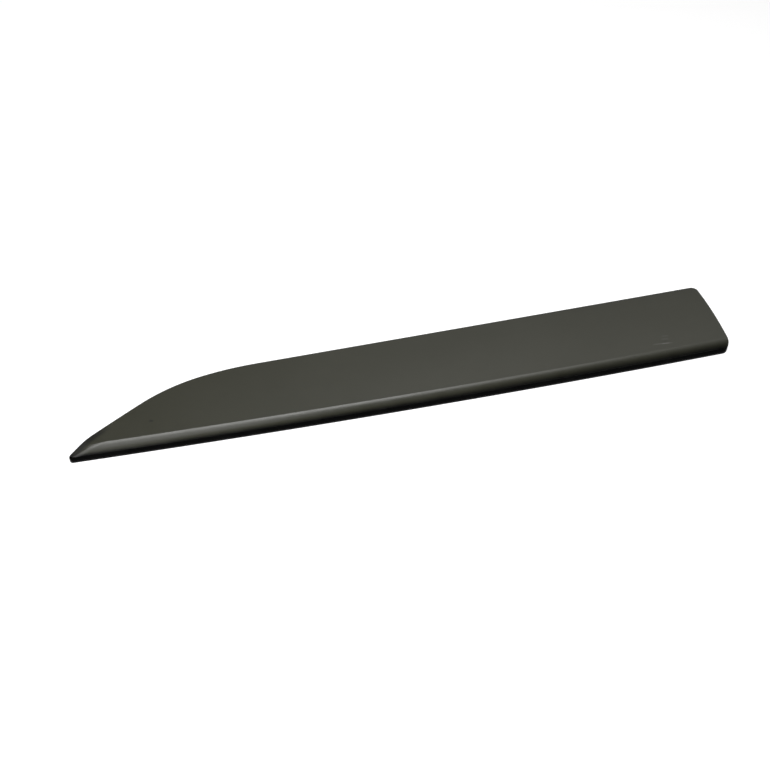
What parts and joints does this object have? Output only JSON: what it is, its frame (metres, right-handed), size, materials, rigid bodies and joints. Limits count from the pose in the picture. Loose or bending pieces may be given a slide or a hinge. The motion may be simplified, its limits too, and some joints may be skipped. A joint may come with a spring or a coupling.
{
  "type": "car body side moulding",
  "caption": "Long pointed protective side moulding for a car door, an open-backed ribbed plastic shell with a crowned face, a creased shoulder and screw bosses behind.",
  "frame": {"origin": "middle of the part's length and width on the rim plane, where the moulding meets the door skin", "axes": "+X along the moulding from the pointed tip to the square end, +Z out of the door from the rim plane through the face, and +Y from the creased shoulder edge to the crisp far edge"},
  "size_m": [0.4834, 0.0706, 0.0097],
  "materials": {
    "moulded_plastic": "satin olive-grey paint on the face, bare black plastic behind"
  },
  "bodies": {
    "root": {"moulding": "moulded_plastic"}
  },
  "joints": []
}
